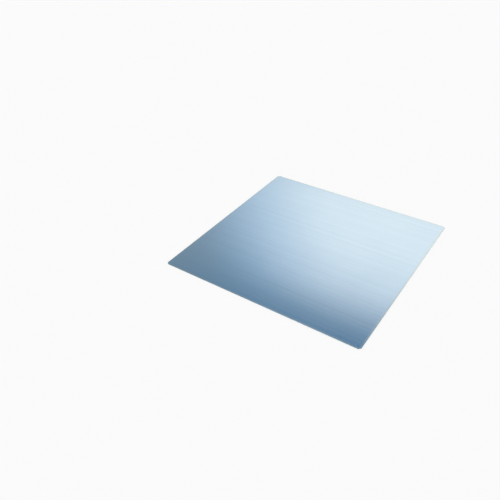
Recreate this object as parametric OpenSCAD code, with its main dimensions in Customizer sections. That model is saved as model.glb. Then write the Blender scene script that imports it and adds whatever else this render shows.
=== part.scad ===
// Square silicon wafer: one thin slice, sawn from a squared ingot.
// It lies flat. Z = 0 is its back face, and the origin is the middle of that face.
// All sizes are in millimetres.

/* [Slice] */
// Side of the square, from edge to edge
side = 156; // [100:0.25:210]
// Thickness of the slice
thickness = 0.2; // [0.12:0.01:0.5]

/* [Corners] */
// Leg of the 45 degree cut across each corner of the square
corner_cut = 1.5; // [0.5:0.1:10]

/* [Rim] */
// Leg of the fine bevel that etching leaves round both faces
rim_bevel = 0.03; // [0.01:0.005:0.05]

/* [Hidden] */
// From one corner cut to the one opposite
across_corners = sqrt(2) * (side - corner_cut);
// A bar longer than the wafer's diagonal, so that its ends never cut the slice
bar_length = 2 * side;

// Section of the slice between two opposite edges, with its four bevels.
module bevelled_section(width) {
    half = width / 2;
    polygon([
        [-half, rim_bevel],
        [-half + rim_bevel, 0],
        [half - rim_bevel, 0],
        [half, rim_bevel],
        [half, thickness - rim_bevel],
        [half - rim_bevel, thickness],
        [-half + rim_bevel, thickness],
        [-half, thickness - rim_bevel]
    ]);
}

// A long bar with that section. It lies along Y at 0 degrees and turns about Z.
module bevelled_bar(width, angle)
    rotate([90, 0, angle])
        linear_extrude(height = bar_length, center = true)
            bevelled_section(width);

// The slice is what four crossed bars share: two give the edges, and two the corner cuts.
module wafer()
    color("lightsteelblue")
        intersection() {
            bevelled_bar(side, 0);
            bevelled_bar(side, 90);
            bevelled_bar(across_corners, 45);
            bevelled_bar(across_corners, -45);
        }

wafer();
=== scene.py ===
from math import pi, radians
import bmesh
import bpy
from mathutils import Euler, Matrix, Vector


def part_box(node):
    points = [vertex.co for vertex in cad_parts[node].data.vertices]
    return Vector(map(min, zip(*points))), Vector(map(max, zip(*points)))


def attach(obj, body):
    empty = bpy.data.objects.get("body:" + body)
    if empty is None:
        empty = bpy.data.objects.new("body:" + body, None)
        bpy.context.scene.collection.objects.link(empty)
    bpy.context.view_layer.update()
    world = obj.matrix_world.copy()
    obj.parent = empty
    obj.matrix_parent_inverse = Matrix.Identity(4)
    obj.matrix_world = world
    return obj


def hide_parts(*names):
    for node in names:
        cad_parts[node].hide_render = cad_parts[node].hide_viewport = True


# One bare square silicon wafer, lying on a pale studio floor among soft boxes.
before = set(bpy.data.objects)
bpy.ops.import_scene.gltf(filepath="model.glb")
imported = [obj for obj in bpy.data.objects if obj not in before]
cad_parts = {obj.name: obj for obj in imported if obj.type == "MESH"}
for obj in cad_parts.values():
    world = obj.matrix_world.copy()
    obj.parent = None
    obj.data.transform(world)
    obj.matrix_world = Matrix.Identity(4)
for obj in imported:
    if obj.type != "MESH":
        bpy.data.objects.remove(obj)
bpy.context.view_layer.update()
waferLow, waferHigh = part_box("wafer")
mm = 0.001
micron = mm / 1000
side = waferHigh.x - waferLow.x
thickness = waferHigh.z - waferLow.z
middle = (waferLow + waferHigh) / 2
middle.z = waferLow.z  # the middle of the back face, which lies on the floor
print(f"frame loaded: the wafer is {side / mm:.1f} mm square and {thickness / mm:.2f} mm thick")


def hexToLinear(code):  # an sRGB colour such as "9daebb", as the linear one that the shaders work in
    channels = [int(code[i:i + 2], 16) / 255 for i in (0, 2, 4)]
    return (*(c / 12.92 if c <= 0.04045 else ((c + 0.055) / 1.055) ** 2.4 for c in channels), 1)


def addNode(tree, kind, inputs=None, **settings):
    # An input goes by its name, or by its number where names repeat. It is given a value, an output to
    # link, or a node, whose first output is then linked.
    node = tree.nodes.new("ShaderNode" + kind)
    for name, value in settings.items():
        setattr(node, name, value)
    # A Mix node has a set of sockets for each kind of data, and only one set is enabled.
    usable = [socket for socket in node.inputs if socket.enabled]
    for name, value in (inputs or {}).items():
        if isinstance(name, int):
            target = usable[name]
        else:
            target = next(socket for socket in usable if socket.name == name)
        if isinstance(value, bpy.types.Node):
            value = next(socket for socket in value.outputs if socket.enabled)
        if isinstance(value, bpy.types.NodeSocket):
            tree.links.new(value, target)
        else:
            target.default_value = value
    return node


def addObject(name, data):
    thing = bpy.data.objects.new(name, data)
    bpy.context.scene.collection.objects.link(thing)
    return thing


# The camera looks down across the wafer, which lies to the right of what it aims at.
cameraSet = {
    "lensMm": 38.87,
    "sensorMm": 36,
    "turn": 35.4,  # degrees from the front, towards +X
    "rise": 36.91,  # degrees above the floor
    "roll": -1.55,  # degrees
    "distance": 2.631,  # from the lens to the aimed spot, in wafer sides
    "aim": (-0.2273, -0.1982),  # the aimed spot on the floor, in wafer sides from the middle
}


def placeCamera():
    data = bpy.data.cameras.new("studioCamera")
    data.lens = cameraSet["lensMm"]
    data.sensor_width = cameraSet["sensorMm"]
    camera = addObject("studioCamera", data)
    swing = Euler((radians(90 - cameraSet["rise"]), 0, radians(cameraSet["turn"]))).to_matrix()
    roll = Euler((0, 0, radians(cameraSet["roll"]))).to_matrix()
    aimed = middle + Vector((*cameraSet["aim"], 0)) * side
    camera.matrix_world = (swing @ roll).to_4x4()
    camera.location = aimed + swing @ Vector((0, 0, cameraSet["distance"] * side))
    bpy.context.scene.camera = camera


placeCamera()
print("camera placed")

# The slice: a square with its corners cut off, and edges that etching has rounded.
sliceSet = {
    "cornerCutMm": 1.5,  # leg of the 45 degree cut
    "edgeRoundMm": 0.03,  # radius where each face meets the edge
    "edgeSteps": 4,  # facets across that round
    "rimMm": 1.5,  # how far the duller rim reaches in from the edge
}


def frontAndBack(bm):  # the only faces with more than four corners
    return [face for face in bm.faces if len(face.verts) > 4]


def makeSlice():
    bm = bmesh.new()
    rim = bm.verts.layers.float.new("rim")  # 1 at the edge, fading to 0 at the inner side of the ring
    bmesh.ops.create_grid(bm, x_segments=1, y_segments=1, size=side / 2)
    bmesh.ops.translate(bm, verts=bm.verts, vec=middle)
    bmesh.ops.bevel(bm, geom=bm.verts[:], offset=sliceSet["cornerCutMm"] * mm, offset_type="OFFSET",
                    affect="VERTICES", segments=1, profile=0.5, material=-1)
    raised = bmesh.ops.extrude_face_region(bm, geom=bm.faces[:], use_keep_orig=True)["geom"]
    bmesh.ops.translate(bm, verts=[part for part in raised if isinstance(part, bmesh.types.BMVert)],
                        vec=(0, 0, thickness))
    bmesh.ops.recalc_face_normals(bm, faces=bm.faces)
    outlines = [edge for face in frontAndBack(bm) for edge in face.edges]
    bmesh.ops.bevel(bm, geom=outlines, offset=sliceSet["edgeRoundMm"] * mm, offset_type="OFFSET",
                    affect="EDGES", segments=sliceSet["edgeSteps"], profile=0.5, material=-1)
    flats = frontAndBack(bm)
    rings = bmesh.ops.inset_individual(bm, faces=flats, thickness=sliceSet["rimMm"] * mm,
                                       use_even_offset=True)["faces"]
    insideRim = {vert for face in flats for vert in face.verts}
    for vert in bm.verts:
        vert[rim] = 0 if vert in insideRim else 1
    for face in bm.faces:
        face.smooth = face not in flats and face not in rings
    mesh = bpy.data.meshes.new("siliconSlice")
    bm.to_mesh(mesh)
    bm.free()
    return addObject("siliconSlice", mesh)


siliconSlice = makeSlice()
print("slice modelled:", len(siliconSlice.data.polygons), "faces")

# Etched silicon: sawn by wires from a squared ingot, then etched until both faces are satin.
# It mirrors softly, like a blue-grey metal, and the wires leave long faint marks across it.
siliconLook = {
    "face": "9daebb",
    "cloud": "97a9b8",  # where the etch went a little deeper
    "grooveShade": "92a3b1",  # painted shade at the bottom of each saw mark, a little darker than the face
    "rim": "a2aeb0",  # the edge is etched from two sides, which leaves it greyer and rougher
    "faceRoughness": 0.17,
    "cloudRoughness": 0.20,
    "rimRoughness": 0.26,
    "cloudMm": 38,  # across one cloud of the etch
    "cloudDetail": 3,  # finer layers of noise within the clouds
    # Each set of saw marks: mm from mark to mark, then microns deep. The finest are really some 0.2 mm
    # apart, too fine to show, so they are drawn 0.8 mm apart.
    "marks": [(3.0, 7), (0.8, 1.5)],
    "markLength": 400,  # in gaps from mark to mark, so that a mark crosses the whole face
    "markDetail": 1,  # finer layers of noise within each set of marks
}


def etchedSilicon():
    material = bpy.data.materials.new("etchedSilicon")
    material.use_nodes = True
    tree = material.node_tree
    tree.nodes.clear()
    place = addNode(tree, "TexCoord").outputs["Object"]
    rim = addNode(tree, "Attribute", attribute_name="rim").outputs["Fac"]
    cloud = addNode(tree, "TexNoise", {"Vector": place, "Scale": 1 / (siliconLook["cloudMm"] * mm),
                                       "Detail": siliconLook["cloudDetail"]}).outputs["Fac"]
    height = 0  # of the ground between the marks, in metres
    for gapMm, microns in siliconLook["marks"]:
        across = 1 / (gapMm * mm)
        along = across / siliconLook["markLength"]
        through = 1 / thickness  # so that the two faces have marks of their own
        stretched = addNode(tree, "Mapping", {"Vector": place, "Scale": (along, across, through)})
        streaks = addNode(tree, "TexNoise", {"Vector": stretched, "Scale": 1,
                                             "Detail": siliconLook["markDetail"]}).outputs["Fac"]
        height = addNode(tree, "Math", {0: streaks, 1: microns * micron, 2: height},
                         operation="MULTIPLY_ADD")
    bump = addNode(tree, "Bump", {"Height": height, "Distance": 1})
    highest = sum(microns for gapMm, microns in siliconLook["marks"]) * micron
    level = addNode(tree, "Math", {0: height, 1: highest}, operation="DIVIDE")
    etched = addNode(tree, "Mix", {"Factor": cloud, "A": hexToLinear(siliconLook["face"]),
                                   "B": hexToLinear(siliconLook["cloud"])}, data_type="RGBA")
    # Painted shade: the colour darkens towards the bottom of each saw mark, where the bump is lowest.
    grooveShaded = addNode(tree, "Mix", {"Factor": level, "A": hexToLinear(siliconLook["grooveShade"]),
                                   "B": etched}, data_type="RGBA")
    colour = addNode(tree, "Mix", {"Factor": rim, "A": grooveShaded,
                                   "B": hexToLinear(siliconLook["rim"])}, data_type="RGBA")
    satin = addNode(tree, "Mix", {"Factor": cloud, "A": siliconLook["faceRoughness"],
                                  "B": siliconLook["cloudRoughness"]})
    roughness = addNode(tree, "Mix", {"Factor": rim, "A": satin, "B": siliconLook["rimRoughness"]})
    shader = addNode(tree, "BsdfPrincipled", {"Base Color": colour, "Metallic": 1,
                                              "Roughness": roughness, "Normal": bump})
    addNode(tree, "OutputMaterial", {"Surface": shader})
    return material


siliconSlice.data.materials.append(etchedSilicon())
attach(siliconSlice, "root")
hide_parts("wafer")
print("silicon finished")

# The studio: white around the floor, and a blue surround that only shows mirrored in the wafer.
studioSet = {
    "floor": "fdfdfd",
    "floorMetres": 20,
    "backdrop": 0.98,  # brightness of the white
    # The blue surround's colours, from the horizon, 0, to overhead, 1.
    "mirrored": [(0, "eaf3f9"), (0.52, "d2dde0"), (0.788, "0089be"), (1, "4f7f9f")],
    "softboxEdge": "b0d8ff",  # a soft box turns bluer as it fades towards its edges
}
# Each soft box hangs "at" metres from the wafer's middle, and its face is "size" metres wide and high. It
# is turned "turn" degrees about the way it faces, and fades at each edge over a share of its size.
softboxes = {
    "backSoftbox": {"at": (-0.11, 1.6, 1.177), "facing": (0, -1, 0), "turn": 6, "size": (3.24, 0.862),
                    "fade": (0.343, 0.085), "colour": "fff0e1", "strength": 1.71},
    "overheadSoftbox": {"at": (-0.4, 0.35, 2.2), "facing": (0, 0, -1), "turn": 0, "size": (2.4, 2),
                        "fade": (0.5, 0.5), "colour": "ffffff", "strength": 0.9},
    "sideSoftbox": {"at": (1.45, -0.6, 0.42), "facing": (-1, 0.4, 0), "turn": 0, "size": (1.6, 0.6),
                    "fade": (0.3, 0.4), "colour": "f4f8ff", "strength": 0.8},
}


def makeFloor():
    bm = bmesh.new()
    bmesh.ops.create_grid(bm, x_segments=1, y_segments=1, size=studioSet["floorMetres"] / 2)
    bmesh.ops.translate(bm, verts=bm.verts, vec=middle)
    mesh = bpy.data.meshes.new("studioFloor")
    bm.to_mesh(mesh)
    bm.free()
    paint = bpy.data.materials.new("mattFloorPaint")
    paint.use_nodes = True
    tree = paint.node_tree
    tree.nodes.clear()
    shader = addNode(tree, "BsdfDiffuse", {"Color": hexToLinear(studioSet["floor"])})
    addNode(tree, "OutputMaterial", {"Surface": shader})
    mesh.materials.append(paint)
    addObject("studioFloor", mesh)


def makeSurround():
    world = bpy.data.worlds.new("studioSurround")
    world.use_nodes = True
    tree = world.node_tree
    tree.nodes.clear()
    direction = addNode(tree, "TexCoord").outputs["Generated"]
    height = addNode(tree, "SeparateXYZ", {"Vector": direction}).outputs["Z"]
    ramp = addNode(tree, "ValToRGB", {"Fac": height})
    ramp.color_ramp.interpolation = "EASE"
    stops = ramp.color_ramp.elements
    while len(stops) < len(studioSet["mirrored"]):
        stops.new(1)
    for stop, (position, code) in zip(stops, studioSet["mirrored"]):
        stop.position = position
        stop.color = hexToLinear(code)
    mirrored = addNode(tree, "Background", {"Color": ramp.outputs["Color"]})
    white = addNode(tree, "Background", {"Color": hexToLinear("ffffff"),
                                         "Strength": studioSet["backdrop"]})
    isMirrored = addNode(tree, "LightPath").outputs["Is Glossy Ray"]
    either = addNode(tree, "MixShader", {0: isMirrored, 1: white, 2: mirrored})
    addNode(tree, "OutputWorld", {"Surface": either})
    bpy.context.scene.world = world


def hangSoftbox(name, box):
    lamp = bpy.data.lights.new(name, "AREA")
    lamp.shape = "RECTANGLE"
    lamp.size, lamp.size_y = box["size"]
    lamp.energy = box["strength"] * pi * lamp.size * lamp.size_y  # watts that make its face that bright
    lamp.use_nodes = True
    tree = lamp.node_tree
    tree.nodes.clear()
    onFace = addNode(tree, "NewGeometry").outputs["Parametric"]  # 0 to 1 across and up the box's face
    spot = addNode(tree, "SeparateXYZ", {"Vector": onFace})
    brightness = 1
    for axis, fade in zip("XY", box["fade"]):
        # Ping-pong climbs from 0 at one edge to 0.5 at the middle, and falls again to the other edge.
        fromEdge = addNode(tree, "Math", {0: spot.outputs[axis], 1: 0.5}, operation="PINGPONG")
        share = addNode(tree, "MapRange", {"Value": fromEdge, "From Max": fade},
                        interpolation_type="SMOOTHSTEP")
        brightness = addNode(tree, "Math", {0: share, 1: brightness}, operation="MULTIPLY")
    colour = addNode(tree, "Mix", {"Factor": brightness, "A": hexToLinear(studioSet["softboxEdge"]),
                                   "B": hexToLinear(box["colour"])}, data_type="RGBA")
    glow = addNode(tree, "Emission", {"Color": colour, "Strength": brightness})
    addNode(tree, "OutputLight", {"Surface": glow})
    light = addObject(name, lamp)
    light.location = middle + Vector(box["at"])
    facing = Vector(box["facing"]).to_track_quat("-Z", "Y").to_matrix()
    light.rotation_euler = (facing @ Euler((0, 0, radians(box["turn"]))).to_matrix()).to_euler()
    light.visible_camera = False
    light.visible_diffuse = False  # the floor stays evenly white


makeFloor()
makeSurround()
for name, box in softboxes.items():
    hangSoftbox(name, box)
bpy.context.scene.view_settings.view_transform = "Standard"  # so that white stays white
print("studio built")
